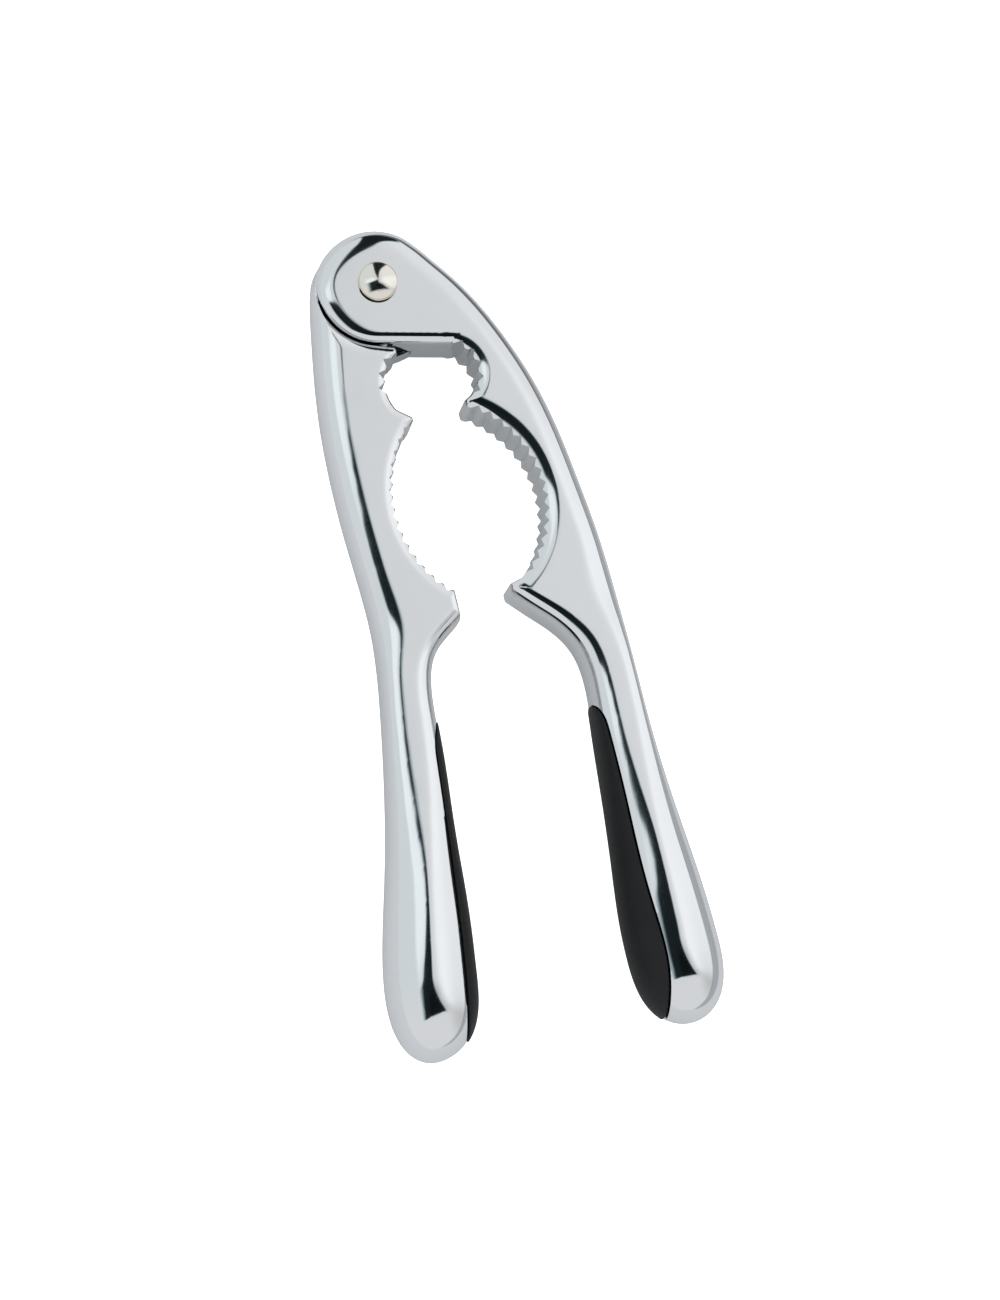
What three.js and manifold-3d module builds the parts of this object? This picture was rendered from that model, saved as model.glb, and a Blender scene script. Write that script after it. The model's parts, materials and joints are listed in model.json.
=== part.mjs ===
// Lever nutcracker: two cast arms on one riveted half-lap hinge, with a soft grip insert in each handle.
// Millimetres, +Z up. The tool lies on its back: +Z is its front face, +Y points to the hinge end.
// Plan shapes are drawn about the hinge axis and the middle of the plate, then moved by HINGE.
import * as THREE from 'three';
import { ParametricGeometry } from 'three/addons/geometries/ParametricGeometry.js';
import { mergeVertices } from 'three/addons/utils/BufferGeometryUtils.js';
import Module from 'manifold-3d';

const wasm = await Module();
wasm.setup();

// ---- driving dimensions ----
const HINGE = new THREE.Vector3(-2.6, 77.3, 10); // hinge axis and plate middle, from the bottom centre of the box
const PLATE_HALF = 7;                   // half thickness of the jaws and of the hinge head
const BULB_HALF = 10;                   // half thickness of the handle bulbs
const BULB_CAP = 12.6;                  // length of the rounded handle end
const HEAD_RADIUS = 13;
const HEAD_NOSE = 4;                    // width of the rounding round the hinge head
const JAW_NOSE = 4;                     // width of the rounding down the outside of the jaws
const GAP = 0.3;                        // running clearance between neighbouring pieces
const LAP_Z = -0.55;                    // underside of the front ear, where the two arms lap
const EAR_CLEARANCE = 0.4;              // round the front ear, in the left arm's shoulder
const REAR_RECESS_RADIUS = 15.1;        // behind the front ear, in the right arm
const CLOSE_ANGLE = THREE.MathUtils.degToRad(7);
const SHANK_RADIUS = 3;
const DOME_RADIUS = 4.25;
const DOME_HEIGHT = 2.3;                // front head of the rivet, above the ear
const TAIL_HEIGHT = 2.7;                // back head of the rivet, level with the back of the bulbs
const THRUST_WASHER = { radius: 9, thickness: 0.6 };
const TAIL_WASHER = { radius: 5.5, thickness: 1 };
const TOOTH_DEPTH = 0.95;
const GRIP_PROUD = 0.35;                // how far a grip stands out of the handle
const NOSE_STEPS = 10;                  // facets round each rounded side of an arm's section
const REACH = 40;                       // larger than any piece is thick or wide, for cutting shapes

// ---- outlines: [y, x] stations down each arm, mid-plane ----
const rightArmOutside = [
  [9, 9.6], [4, 13.6], [0, 16.5], [-8, 21.3], [-16, 25], [-26, 28.6], [-36, 31], [-50, 33],
  [-62, 34.3], [-75, 34.9], [-90, 35], [-104, 35.1], [-118, 35.9], [-132, 37.2], [-145, 38.1], [-155, 38.3],
];
const rightArmInside = [
  [9, -16], [-68, -2], [-71, 2], [-74.2, 14.5], [-79.2, 19.5], [-84.2, 22.6], [-89.3, 23.8], [-95, 23.9],
  [-104, 23.1], [-118, 21.8], [-132, 20.3], [-145, 19], [-155, 18.9],
];
const leftArmOutside = [
  [5, -12], [0, -14.3], [-8, -15.8], [-16, -17.2], [-26, -18.4], [-38, -19], [-50, -18.9], [-62, -18.3],
  [-72, -18.1], [-82, -18.9], [-94, -20.8], [-108, -23.5], [-122, -26.8], [-136, -30.6], [-145, -32.5],
  [-151, -33.1],
];
const leftArmInside = [
  [5, 16], [-68, 16], [-71.6, 12], [-74.6, 0], [-77.9, -4.8], [-80.8, -6.7], [-84.5, -7.9], [-90, -8.8],
  [-100, -9.4], [-110, -10.2], [-120, -11], [-130, -11.6], [-140, -12.5], [-151, -13.7],
];

// ---- small helpers ----
function interpolate(stations, y) {
  // stations run downwards; the curve through them is monotone and smooth
  const last = stations.length - 1;
  if (y >= stations[0][0]) return stations[0][1];
  if (y <= stations[last][0]) return stations[last][1];
  const i = stations.findIndex(([top], k) => k < last && y <= top && y > stations[k + 1][0]);
  const secant = (k) => (stations[k + 1][1] - stations[k][1]) / (stations[k + 1][0] - stations[k][0]);
  const slope = (k) => {
    if (k === 0) return secant(0);
    if (k === last) return secant(last - 1);
    const before = secant(k - 1);
    const after = secant(k);
    return before * after <= 0 ? 0 : 2 * before * after / (before + after);
  };
  const [y0, x0] = stations[i];
  const [y1, x1] = stations[i + 1];
  const span = y1 - y0;
  const t = (y - y0) / span;
  return x0 * (1 + 2 * t) * (1 - t) ** 2 + x1 * t * t * (3 - 2 * t)
    + span * (slope(i) * t * (1 - t) ** 2 + slope(i + 1) * t * t * (t - 1));
}

function solid(geometry) {
  const bare = geometry.clone();
  for (const name of ['normal', 'uv']) bare.deleteAttribute(name);
  const merged = mergeVertices(bare, 1e-4);
  const index = merged.index.array;
  const triangles = [];
  for (let i = 0; i < index.length; i += 3) {
    const [a, b, c] = [index[i], index[i + 1], index[i + 2]];
    if (a !== b && b !== c && c !== a) triangles.push(a, b, c);
  }
  return new wasm.Manifold(new wasm.Mesh({
    numProp: 3,
    vertProperties: new Float32Array(merged.attributes.position.array),
    triVerts: new Uint32Array(triangles),
  }));
}

function namedMesh(name, body, material) {
  const { vertProperties, triVerts } = body.getMesh();
  const geometry = new THREE.BufferGeometry();
  geometry.setAttribute('position', new THREE.BufferAttribute(new Float32Array(vertProperties), 3));
  geometry.setIndex(new THREE.BufferAttribute(new Uint32Array(triVerts), 1));
  geometry.computeVertexNormals();
  const mesh = new THREE.Mesh(geometry, material);
  mesh.name = name;
  mesh.position.copy(HINGE);
  return mesh;
}

function plate(shape, zLow, zHigh, curveSegments = 24) {
  const geometry = new THREE.ExtrudeGeometry(shape, { depth: zHigh - zLow, bevelEnabled: false, curveSegments });
  return solid(geometry.translate(0, 0, zLow));
}

function disc(radius, zLow, zHigh, sides = 40) {
  const geometry = new THREE.CylinderGeometry(radius, radius, zHigh - zLow, sides);
  return solid(geometry.rotateX(Math.PI / 2).translate(0, 0, (zLow + zHigh) / 2));
}

function turned(profile, sides = 48) {
  // profile: [radius, z] from the bottom of the axis to the top of the axis
  const points = profile.map(([radius, z]) => new THREE.Vector2(radius, z));
  return solid(new THREE.LatheGeometry(points, sides).rotateX(Math.PI / 2));
}

const ramp = (y, from, to) => THREE.MathUtils.smoothstep(-y, -from, -to);

// ---- cast body: one rounded section after another down an arm ----
function armLoft(outside, inside, side, grow = 0) {
  const yTop = outside[0][0];
  const yBulb = outside[outside.length - 1][0];
  const section = (y) => {
    const cap = y < yBulb ? Math.sqrt(Math.max(0, 1 - ((y - yBulb) / BULB_CAP) ** 2)) : 1;
    const out = interpolate(outside, y) * side;
    const into = interpolate(inside, y) * side;
    const middle = (out + into) / 2;
    const half = (out - into) / 2 * cap + grow;
    const roundness = ramp(y, -70, -97);
    const outNose = THREE.MathUtils.lerp(Math.min(JAW_NOSE, half), half, roundness);
    const inNose = THREE.MathUtils.lerp(Math.min(2, half), half, roundness);
    const height = THREE.MathUtils.lerp(PLATE_HALF, BULB_HALF, ramp(y, -70, -150)) * cap + grow;
    return { middle, half, outNose, inNose, height };
  };
  const bodyRows = 36;
  const capRows = 6;
  const rows = bodyRows + capRows;
  const yAt = (row) => {
    if (row <= bodyRows) return THREE.MathUtils.lerp(yTop, yBulb, row / bodyRows);
    return yBulb - BULB_CAP * Math.sin((row - bodyRows) / capRows * Math.PI / 2);
  };
  // A section is two rounded sides joined by flats: NOSE_STEPS facets each, and one flat after each.
  const columns = 2 * (NOSE_STEPS + 1);
  const surface = (u, v, target) => {
    const row = Math.round(v * (rows + 1)) - 1;
    const y = yAt(Math.max(row, 0));
    const { middle, half, outNose, inNose, height } = section(y);
    const column = Math.round(u * columns) % columns;
    const outer = column <= NOSE_STEPS;
    const step = outer ? column : column - NOSE_STEPS - 1;
    const angle = Math.PI * (step / NOSE_STEPS - 0.5);
    const nose = outer ? outNose : inNose;
    const reach = (half - nose + nose * Math.cos(angle)) * (outer ? 1 : -1);
    const open = row < 0 || row === rows ? 0 : 1;
    target.set(side * (middle + open * reach), y, open * side * height * Math.sin(angle) * (outer ? 1 : -1));
  };
  return solid(new ParametricGeometry(surface, columns, rows + 1));
}

// ---- jaw outlines, with the teeth as a zigzag on an arc ----
function addTeeth(shape, { x, y, tipRadius, from, to, count }) {
  for (let i = 0; i <= count; i += 1) {
    const tip = THREE.MathUtils.degToRad(THREE.MathUtils.lerp(from, to, i / count));
    if (i > 0) {
      const root = THREE.MathUtils.degToRad(THREE.MathUtils.lerp(from, to, (i - 0.5) / count));
      const radius = tipRadius + TOOTH_DEPTH;
      shape.lineTo(x + radius * Math.cos(root), y + radius * Math.sin(root));
    }
    shape.lineTo(x + tipRadius * Math.cos(tip), y + tipRadius * Math.sin(tip));
  }
}

function rightJawPlan() {
  const shape = new THREE.Shape();
  shape.moveTo(-9, 9);
  shape.absarc(0, 0, HEAD_RADIUS, THREE.MathUtils.degToRad(135), THREE.MathUtils.degToRad(258), false);
  shape.lineTo(12.3, -15.5);
  addTeeth(shape, { x: 9.6, y: -22.3, tipRadius: 6.9, from: 62, to: -50, count: 5 });
  shape.lineTo(12.5, -29.7);
  addTeeth(shape, { x: 0.6, y: -50.3, tipRadius: 23.4, from: 57.4, to: -48.2, count: 16 });
  shape.lineTo(12.3, -69.5);
  shape.lineTo(12.3, -71.6);
  shape.lineTo(13.2, -73.4);
  shape.lineTo(14, -90);
  shape.lineTo(14, -180);
  shape.lineTo(REACH, -180);
  shape.lineTo(REACH, 9);
  shape.closePath();
  return shape;
}

function leftJawPlan() {
  const shape = new THREE.Shape();
  shape.moveTo(-REACH, 5);
  shape.lineTo(-REACH, -180);
  shape.lineTo(4, -180);
  shape.lineTo(3.5, -90);
  shape.lineTo(2.6, -73.3);
  shape.lineTo(3.3, -72.2);
  shape.lineTo(3.3, -69.3);
  addTeeth(shape, { x: 17.9, y: -49.7, tipRadius: 25.6, from: 227.1, to: 135.6, count: 15 });
  shape.lineTo(0.7, -30.3);
  shape.lineTo(-3.9, -26.7);
  addTeeth(shape, { x: 5.2, y: -23.4, tipRadius: 8.85, from: 185, to: 131, count: 3 });
  shape.lineTo(0.2, -16);
  shape.lineTo(0.2, 5);
  shape.closePath();
  return shape;
}

// ---- hinge head: a disc with a rounded rim, split into a front ear and a rear lug ----
function headDisc() {
  const rim = [];
  for (let i = 0; i <= 10; i += 1) {
    const angle = (i / 10 - 0.5) * Math.PI;
    rim.push([HEAD_RADIUS - HEAD_NOSE + HEAD_NOSE * Math.cos(angle), PLATE_HALF * Math.sin(angle)]);
  }
  return turned([[0, -PLATE_HALF], ...rim, [0, PLATE_HALF]]);
}

function hingeHole() {
  return disc(SHANK_RADIUS + GAP, -REACH, REACH, 32);
}

// What the front ear sweeps in the left arm, from fully closed: the disc and the web beside it.
function earSweep() {
  const tangent = THREE.MathUtils.degToRad(258) - CLOSE_ANGLE;
  const radius = HEAD_RADIUS + EAR_CLEARANCE;
  const along = tangent + Math.PI / 2;
  const start = new THREE.Vector2(radius * Math.cos(tangent), radius * Math.sin(tangent));
  const end = start.clone().add(new THREE.Vector2(Math.cos(along), Math.sin(along)).multiplyScalar(REACH));
  const web = new THREE.Shape([start, end, new THREE.Vector2(REACH, 0), new THREE.Vector2(0, 0)]);
  return disc(radius, LAP_Z - GAP, REACH, 72).add(plate(web, LAP_Z - GAP, REACH));
}

// ---- grips: the inner slice of each handle, cut along a gentle curve ----
const gripCuts = {
  right: {
    side: 1, top: -97, bottom: -166.4,
    line: [[-97, 23.4], [-104, 25.2], [-120, 25.2], [-140, 24.7], [-155, 24], [-166.4, 21]],
  },
  left: {
    side: -1, top: -94, bottom: -163.3,
    line: [[-94, -9.4], [-101, -11.6], [-120, -13.4], [-140, -15.6], [-152, -17.4], [-163.3, -22]],
  },
};

function gripZone({ side, top, bottom, line }, inset) {
  const shape = new THREE.Shape();
  const steps = 14;
  shape.moveTo(side * (interpolate(line, top) * side - REACH), top - inset);
  for (let i = 0; i <= steps; i += 1) {
    const y = THREE.MathUtils.lerp(top - inset, bottom + inset, i / steps);
    shape.lineTo(interpolate(line, y) - side * inset, y);
  }
  shape.lineTo(side * (interpolate(line, bottom) * side - REACH), bottom + inset);
  shape.closePath();
  return plate(shape, -REACH, REACH);
}

// ---- pieces ----
const chrome = new THREE.MeshStandardMaterial({ color: 0xc9ced1, roughness: 0.12, metalness: 1 });
const nickel = new THREE.MeshStandardMaterial({ color: 0xd8cfc0, roughness: 0.18, metalness: 1 });
const steel = new THREE.MeshStandardMaterial({ color: 0x9a9c9e, roughness: 0.35, metalness: 1 });
const rubber = new THREE.MeshStandardMaterial({ color: 0x1b1d1f, roughness: 0.75, metalness: 0 });

function rightArm() {
  const body = armLoft(rightArmOutside, rightArmInside, 1).intersect(plate(rightJawPlan(), -REACH, REACH));
  const rearRecess = disc(REAR_RECESS_RADIUS, -REACH, LAP_Z, 72);
  return headDisc().add(body).subtract(rearRecess).subtract(hingeHole())
    .subtract(gripZone(gripCuts.right, 0));
}

function leftArm() {
  const body = armLoft(leftArmOutside, leftArmInside, -1).intersect(plate(leftJawPlan(), -REACH, REACH));
  const washerSeat = disc(THRUST_WASHER.radius + GAP, LAP_Z - 2 * GAP - THRUST_WASHER.thickness, LAP_Z);
  const tailSeat = disc(TAIL_WASHER.radius + GAP, -REACH, -PLATE_HALF + TAIL_WASHER.thickness + GAP);
  return headDisc().add(body).subtract(earSweep()).subtract(washerSeat).subtract(tailSeat).subtract(hingeHole())
    .subtract(gripZone(gripCuts.left, 0));
}

function grip(outside, inside, cut) {
  return armLoft(outside, inside, cut.side, GRIP_PROUD).intersect(gripZone(cut, GAP));
}

function washer(radius, zLow, thickness) {
  return disc(radius, zLow, zLow + thickness).subtract(hingeHole());
}

// A shank between two domed heads, each standing on a plate face.
function pivotRivet() {
  const headFloor = PLATE_HALF + GAP;
  const steps = 7;
  const dome = (height) => {
    const points = [];
    for (let i = 0; i < steps; i += 1) {
      const angle = i / steps * Math.PI / 2;
      points.push([DOME_RADIUS * Math.cos(angle), headFloor + height * Math.sin(angle)]);
    }
    return [...points, [0, headFloor + height]];
  };
  const tail = dome(TAIL_HEIGHT).map(([radius, z]) => [radius, -z]).reverse();
  return turned([...tail, [SHANK_RADIUS, -headFloor], [SHANK_RADIUS, headFloor], ...dome(DOME_HEIGHT)], 32);
}

const nutcracker = new THREE.Group();
nutcracker.add(
  namedMesh('right_arm', rightArm(), chrome),
  namedMesh('left_arm', leftArm(), chrome),
  namedMesh('pivot_rivet', pivotRivet(), nickel),
  namedMesh('thrust_washer', washer(THRUST_WASHER.radius, LAP_Z - GAP - THRUST_WASHER.thickness,
    THRUST_WASHER.thickness), steel),
  namedMesh('tail_washer', washer(TAIL_WASHER.radius, -PLATE_HALF, TAIL_WASHER.thickness), steel),
  namedMesh('right_grip', grip(rightArmOutside, rightArmInside, gripCuts.right), rubber),
  namedMesh('left_grip', grip(leftArmOutside, leftArmInside, gripCuts.left), rubber),
);

export default nutcracker;
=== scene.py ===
"""Lever nutcracker: the finished look of its arms, rivet, washers and grips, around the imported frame."""

import json
import math
from types import SimpleNamespace

import bpy
import numpy as np
from mathutils import Euler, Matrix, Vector


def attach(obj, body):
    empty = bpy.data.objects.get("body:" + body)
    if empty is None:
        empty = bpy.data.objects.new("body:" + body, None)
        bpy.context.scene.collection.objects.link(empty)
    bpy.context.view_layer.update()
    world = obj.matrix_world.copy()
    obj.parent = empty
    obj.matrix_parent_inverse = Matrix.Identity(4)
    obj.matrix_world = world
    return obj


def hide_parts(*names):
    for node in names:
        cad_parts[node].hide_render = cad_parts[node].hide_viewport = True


bl_info = {
    "name": "Lever nutcracker",
    "version": (1, 0, 0),
    "blender": (4, 5, 0),
    "location": "3D View > Sidebar > Nutcracker",
    "description": "Builds the castings, rivet, washers and grips of a lever nutcracker around its frame",
    "category": "Add Mesh",
}

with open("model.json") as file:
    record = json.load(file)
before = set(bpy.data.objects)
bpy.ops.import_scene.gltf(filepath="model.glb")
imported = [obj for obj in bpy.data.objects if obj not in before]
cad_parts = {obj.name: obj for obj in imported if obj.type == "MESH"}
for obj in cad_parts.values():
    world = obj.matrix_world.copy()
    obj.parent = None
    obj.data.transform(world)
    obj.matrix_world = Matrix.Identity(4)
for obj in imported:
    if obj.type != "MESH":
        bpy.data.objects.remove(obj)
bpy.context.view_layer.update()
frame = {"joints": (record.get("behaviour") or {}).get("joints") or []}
HINGE = Vector(frame["joints"][0]["pos_m"])
MM = 0.001

# Plan sizes are in millimetres about the hinge axis and the middle of the plate, as the castings are drawn.
LAP_Z = -0.55                 # underside of the front ear
LAP_GAP = 0.3
REAR_RECESS = 15.1            # radius cut behind the front ear for the left arm's lug
BOSS_RADIUS = 14.8            # of the left arm's boss in that recess
BOSS_X = 6.0                  # where the boss ends on the right
EAR_CLEARANCE = 0.4
CLOSE_ANGLE = math.radians(7)
WEB_DEGREES = 258             # where the web's lower edge leaves the head, seen from the hinge
WEB_ANGLE = math.radians(WEB_DEGREES)
THRUST_SEAT = (9.3, 0.9)      # radius, depth
TAIL_SEAT = (5.8, 1.3)
SHARP_ANGLE = 32              # edges bent more than this many degrees are shaded sharp

# Rivet and washers.
SHANK_RADIUS = 3.0
SHANK_HALF = 7.3              # half the shank's length between the heads
RIVET_HEAD = 4.25             # radius of each head
RIVET_EDGE = 1.0              # rounding of its edge
RIVET_EDGE_Z = 7.75           # height of that rounding's centre
DOME_RADIUS = 7.6
DOME_Z = 2.0                  # height of the front dome's centre
TAIL_DROP = 0.35              # how much further out the back head stands
THRUST_WASHER = (SHANK_RADIUS + 0.25, 9.0, -1.45, -0.85, 0.15)    # inner and outer radius, low, high, edge
TAIL_WASHER = (SHANK_RADIUS + 0.2, 5.5, -7.0, -6.0, 0.2)

# Jaws.
TIP_X = 12.35                 # the right jaw's tip and point end on this line
LEFT_POINT_X = 0.7            # where the left jaw's point is cut off
LEFT_TIP_X = 3.3              # and its tip
TOOTH_SHARE = 0.47            # half a tooth's width, as a share of the pitch
TOOTH_LENGTH = 20

# Jaw hollows: circle centre and radius, the angles its teeth run between, how many there are, and how deep
# they are as a share of the tooth depth.
RIGHT_CRESCENT = SimpleNamespace(x=0.6, y=-50.3, radius=23.4, start=57.4, end=-48.2, count=16, deep=1.0)
RIGHT_RECESS = SimpleNamespace(x=9.6, y=-22.3, radius=6.9, start=62, end=-50, count=5, deep=1.35)
LEFT_CRESCENT = SimpleNamespace(x=17.9, y=-49.7, radius=25.6, start=227.1, end=135.6, count=15, deep=1.0)
LEFT_RECESS = SimpleNamespace(x=5.2, y=-23.4, radius=8.85, start=131, end=185, count=3, deep=1.7)

# Straight ends of the hollows: a point on the line, and its angle to the X axis.
RIGHT_TIP_CUT = (14.9, -68.8, math.radians(15))
LEFT_TIP_CUT = (-0.2, -67.8, math.radians(-23))
LEFT_RECESS_CUT = (0.7, -30.3, math.atan2(3.6, -4.6))

# Grips.
GRIP_GAP = 0.25
GRIP_EDGE = 0.7               # rounding of the grips' edges
RIGHT_POCKET_Y = -92          # the grips' pockets begin below these
LEFT_POCKET_Y = -89
RIGHT_GRIP_TOP = -97.3
LEFT_GRIP_TOP = -94.3

# Low and high corner, in plan, of the space that each casting and grip is looked for in.
RIGHT_ARM_PLAN = (-14.5, -169), (40, 14.5)
LEFT_ARM_PLAN = (-35, -165), (14.5, 14.5)
RIGHT_GRIP_PLAN = (14, -168.5), (27, -95)
LEFT_GRIP_PLAN = (-25, -165.5), (-6, -92)

# Stage: lengths in metres, angles in degrees.
SHEET_HALF = 4.0
CARD_Z = -0.0002
TENT_RADIUS = 20000           # in millimetres, as for every turned piece
SKY_STRENGTH = 1.25
CAMERA_PLACE = (-0.12469, -0.12442, HINGE.z + 0.74261)
CAMERA_TILT = (11.1234, -7.5075, -13.7202)

# Colours that belong to the stage or to one detail.
WHITE = (1.0, 1.0, 1.0)
COOL_CLOTH = (0.93, 0.99, 1.0)
# tint of the black boards and of the painted shadow band in the tent
BLACK_BOARD_AND_SHADOW = (0.7, 1.0, 1.1)     # its tint, since it is not quite black
CARD_NEAR = (0.56, 0.57, 0.58)
# painted shadow of the tool on the grey card: this colour to its right, the next one, deepest, past its
# hinge
CARD_SHADOW = (0.34, 0.35, 0.36)
CARD_DEEP_SHADOW = (0.12, 0.125, 0.13)
NICKEL_EDGE = (0.84, 0.73, 0.52)

# Stations (y, share) down both arms: how much of the way it is from the plate's thickness to the bulb's.
SWELL = [(10, 0), (-60, 0), (-70, 0.017), (-80, 0.067), (-92, 0.183), (-112, 0.467), (-132, 0.817),
         (-142, 0.95), (-150, 0.985), (-158, 1), (-170, 1)]

# Stations (y, shift) down each handle: how far outwards its crown lies from the middle of its width.
RIGHT_CROWN = [(10, 0), (-60, 0), (-78, 0.3), (-97, 0.8), (-110, 0.8), (-123, 0.7), (-136, 0.8),
               (-148, 0.6), (-156, 0), (-170, 0)]
LEFT_CROWN = [(10, 0), (-60, 0), (-90, 0.1), (-104, 0), (-123, -0.3), (-134, -0.1), (-147, 0.45),
              (-154, 1.1), (-168, 1.2)]

# Stations (y, x) down each arm, at the middle of its thickness.
RIGHT_OUTSIDE = [(10, 8.3), (7.8, 10.4), (4, 13.4), (0, 16.4), (-8, 21.3), (-16, 25), (-26, 28.6),
                 (-36, 31), (-50, 33), (-62, 34.3), (-75, 34.9), (-90, 35), (-104, 35.1), (-118, 35.9),
                 (-132, 37.2), (-145, 38.1), (-158, 38.3), (-170, 38.2)]
RIGHT_INSIDE = [(10, -70), (-50, -8), (-66, 7), (-71.6, 12.35), (-75, 15.4), (-79.2, 19.3),
                (-84.2, 22.5), (-89.3, 23.8), (-95, 23.9), (-104, 23.1), (-118, 21.8), (-132, 20.3),
                (-145, 19), (-158, 18.9), (-170, 19)]
LEFT_OUTSIDE = [(10, -8), (7.4, -11), (4, -13.2), (0, -14.4), (-8, -15.9), (-16, -17.2), (-26, -18.4),
                (-38, -19), (-50, -18.9), (-62, -18.3), (-72, -18.1), (-82, -18.9), (-94, -20.8),
                (-108, -23.5), (-122, -26.8), (-136, -30.6), (-145, -32.5), (-154, -33.3), (-166, -33.6)]
LEFT_INSIDE = [(10, 90), (-60, 14), (-70, 5.6), (-74.6, 0.4), (-77.9, -3.9), (-80.8, -6.4), (-84.5, -7.9),
               (-90, -8.8), (-100, -9.4), (-110, -10.2), (-120, -11), (-130, -11.6), (-140, -12.5),
               (-154, -14.1), (-166, -14.6)]
RIGHT_GRIP_CUT = [(-94, 21.6), (-97.5, 23.7), (-100.5, 24.9), (-105, 25.3), (-120, 25.2), (-140, 25.0),
                  (-155, 25.2), (-168, 22.8)]
LEFT_GRIP_CUT = [(-91, -7.6), (-94.5, -9.5), (-98, -11), (-104, -12), (-120, -13.4), (-140, -15.6),
                 (-152, -17.3), (-164.5, -19.6)]


# ---- sizes and colours a user would change ----
class NutcrackerSizes(bpy.types.PropertyGroup):
    head_radius: bpy.props.FloatProperty(
        name="Head radius", description="Radius of the hinge head", default=0.013,
        min=0.011, max=0.014, subtype="DISTANCE", unit="LENGTH")
    plate_half: bpy.props.FloatProperty(
        name="Plate half thickness", description="Half the thickness of the jaws", default=0.007,
        min=0.004, max=0.009, subtype="DISTANCE", unit="LENGTH")
    bulb_half: bpy.props.FloatProperty(
        name="Bulb half thickness", description="Half the thickness of the handle ends", default=0.01,
        min=0.005, max=0.011, subtype="DISTANCE", unit="LENGTH")
    tooth_depth: bpy.props.FloatProperty(
        name="Tooth depth", description="Depth of the grooves in the jaws", default=0.00095,
        min=0.0002, max=0.002, subtype="DISTANCE", unit="LENGTH")
    mesh_step: bpy.props.FloatProperty(
        name="Mesh step", description="Size of the castings' smallest facets", default=0.00037,
        min=0.0003, max=0.002, subtype="DISTANCE", unit="LENGTH")
    grip_proud: bpy.props.FloatProperty(
        name="Grip height", description="How far the grips stand out of the handles", default=0.0003,
        min=0, max=0.001, subtype="DISTANCE", unit="LENGTH")


class NutcrackerColours(bpy.types.PropertyGroup):
    chrome: bpy.props.FloatVectorProperty(
        name="Chrome", description="Tint of the plated arms",
        subtype="COLOR", size=3, default=(0.80, 0.82, 0.84))
    nickel: bpy.props.FloatVectorProperty(
        name="Nickel", description="Tint of the rivet",
        subtype="COLOR", size=3, default=(0.85, 0.82, 0.77))
    steel: bpy.props.FloatVectorProperty(
        name="Steel", description="Tint of the washers",
        subtype="COLOR", size=3, default=(0.52, 0.53, 0.54))
    rubber: bpy.props.FloatVectorProperty(
        name="Rubber", description="Colour of the grips",
        subtype="COLOR", size=3, default=(0.006, 0.0065, 0.0075))
    floor: bpy.props.FloatVectorProperty(
        name="Floor", description="Colour of the floor",
        subtype="COLOR", size=3, default=(0.93, 0.93, 0.93))


# ---- curves ----
def spline(stations):
    """A smooth curve x(y) through (y, x) stations: natural cubic, so its curvature has no steps."""
    ys = np.array([-y for y, _ in stations], float)
    xs = np.array([x for _, x in stations], float)
    h = np.diff(ys)
    n = len(ys)
    a = np.eye(n)
    r = np.zeros(n)
    for i in range(1, n - 1):
        a[i, i - 1:i + 2] = h[i - 1], 2 * (h[i - 1] + h[i]), h[i]
        r[i] = 6 * ((xs[i + 1] - xs[i]) / h[i] - (xs[i] - xs[i - 1]) / h[i - 1])
    m = np.linalg.solve(a, r)

    def curve(y):
        s = np.clip(-y, ys[0], ys[-1])
        k = np.clip(np.searchsorted(ys, s) - 1, 0, n - 2)
        w = h[k]
        p = (ys[k + 1] - s) / w
        q = 1 - p
        return p * xs[k] + q * xs[k + 1] + ((p ** 3 - p) * m[k] + (q ** 3 - q) * m[k + 1]) * w * w / 6

    return curve


def slant(curve, y, step=0.25):
    """Cosine of the angle between a curve x(y) and the Y axis."""
    slope = (curve(y + step) - curve(y - step)) / (2 * step)
    return 1 / np.sqrt(1 + slope * slope)


def ramp(value, start, end):
    """0 up to start and 1 from end on, with a rise between them that has no steps in its curvature."""
    t = np.clip((value - start) / (end - start), 0, 1)
    return t * t * t * (t * (6 * t - 15) + 10)


def lerp(a, b, t):
    return a + (b - a) * t


def in_mm(sizes):
    """The sizes of the property group, in millimetres."""
    return SimpleNamespace(**{name: getattr(sizes, name) / MM for name in NutcrackerSizes.__annotations__})


# ---- surface of a field ----
def crossings(field, start, axis, cell, v0, v1):
    """Where the field is zero on grid edges, by false position."""
    lo, hi = np.zeros(len(start)), np.full(len(start), cell)
    f0, f1 = v0.copy(), v1.copy()
    for _ in range(5):
        t = lo + (hi - lo) * f0 / (f0 - f1)
        points = start.copy()
        points[:, axis] += t
        f = field(*points.T)
        low_side = (f < 0) == (f0 < 0)
        lo, f0 = np.where(low_side, t, lo), np.where(low_side, f, f0)
        hi, f1 = np.where(low_side, hi, t), np.where(low_side, f1, f)
    return points


def gradient(field, points, step=0.004):
    """Slope of the field at each point."""
    out = np.empty_like(points)
    for k in range(3):
        shift = np.zeros(3)
        shift[k] = step
        out[:, k] = (field(*(points + shift).T) - field(*(points - shift).T)) / (2 * step)
    return out


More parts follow.
